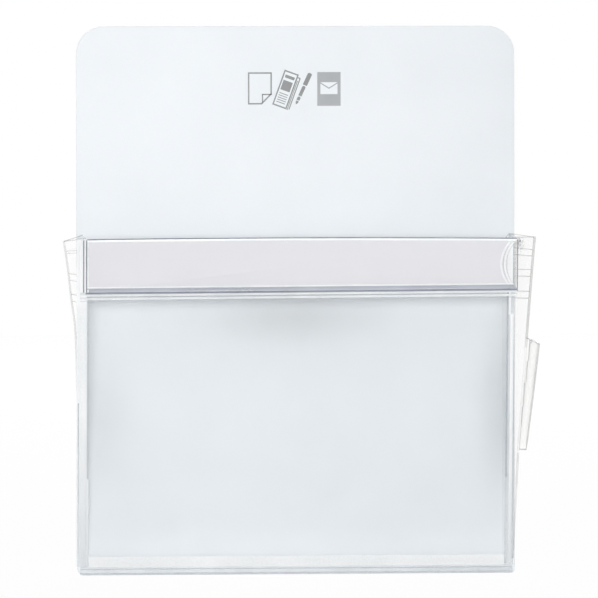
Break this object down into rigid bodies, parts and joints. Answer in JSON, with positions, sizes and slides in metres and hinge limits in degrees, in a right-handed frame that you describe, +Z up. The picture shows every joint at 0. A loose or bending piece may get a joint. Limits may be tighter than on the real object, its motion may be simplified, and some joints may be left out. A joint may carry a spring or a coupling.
{
  "type": "magnetic document pocket",
  "caption": "White backing sheet with magnets behind and a clear gusseted document pocket in front, with a label sleeve along its mouth and a pen sleeve at its side.",
  "frame": {"origin": "centre of the middle magnet's rear face, on the surface of the steel board", "axes": "+Z up along the backing sheet; -Y away from the board towards the reader; +X to the reader's right"},
  "size_m": [0.2395, 0.0243, 0.275],
  "materials": {
    "white_sheet": "fine-grained white plastic sheet",
    "magnet_rubber": "matt flexible magnet",
    "clear_film": "satin clear film",
    "weld_film": "fused clear film",
    "label_paper": "matt card"
  },
  "bodies": {
    "root": {"backing_sheet": "white_sheet", "magnet_strip_top": "magnet_rubber", "magnet_strip_middle": "magnet_rubber", "magnet_strip_bottom": "magnet_rubber", "bottom_seam": "weld_film", "left_rear_seam": "weld_film", "right_rear_seam": "weld_film"},
    "front": {"front_film": "clear_film", "left_front_seam": "weld_film", "right_front_seam": "weld_film", "label_sleeve": "clear_film", "label_foot_seam": "weld_film", "label_end_seam": "weld_film", "label_top_fold": "weld_film"},
    "label": {"label_card": "label_paper"},
    "left_rear_gusset": {"left_rear_leaf": "clear_film"},
    "left_front_gusset": {"left_front_leaf": "clear_film"},
    "right_rear_gusset": {"right_rear_leaf": "clear_film"},
    "right_front_gusset": {"right_front_leaf": "clear_film", "pen_sleeve": "clear_film"}
  },
  "joints": [
    {"name": "front_tilt", "type": "hinge", "parent": "root", "child": "front", "pos_m": [0, -0.00295, -0.1331], "axis": [1, 0, 0], "range_deg": [-5.6, 1.5], "stiffness_Nm_per_rad": 0.3, "springref_deg": -0.4},
    {"name": "label_slide", "type": "slide", "parent": "front", "child": "label", "axis": [1, 0, 0], "range_m": [0, 0.205]},
    {"name": "left_rear_fold", "type": "hinge", "parent": "root", "child": "left_rear_gusset", "pos_m": [-0.107, -0.00245, -0.1331], "axis": [0, 0, 1], "range_deg": [-36.5, 9.8]},
    {"name": "right_rear_fold", "type": "hinge", "parent": "root", "child": "right_rear_gusset", "pos_m": [0.107, -0.00245, -0.1331], "axis": [0, 0, -1], "range_deg": [-36.5, 9.8]},
    {"name": "left_front_fold", "type": "hinge", "parent": "front", "child": "left_front_gusset", "pos_m": [-0.107, -0.00295, -0.1331], "axis": [0, 0.1219, -0.9925], "range_deg": [-36.5, 9.8]},
    {"name": "right_front_fold", "type": "hinge", "parent": "front", "child": "right_front_gusset", "pos_m": [0.107, -0.00295, -0.1331], "axis": [0, -0.1219, 0.9925], "range_deg": [-36.5, 9.8]}
  ],
  "couplings": [
    {"joint": "left_rear_fold", "follows": "front_tilt", "ratio": 6.5},
    {"joint": "right_rear_fold", "follows": "front_tilt", "ratio": 6.5},
    {"joint": "left_front_fold", "follows": "front_tilt", "ratio": 6.5},
    {"joint": "right_front_fold", "follows": "front_tilt", "ratio": 6.5}
  ]
}
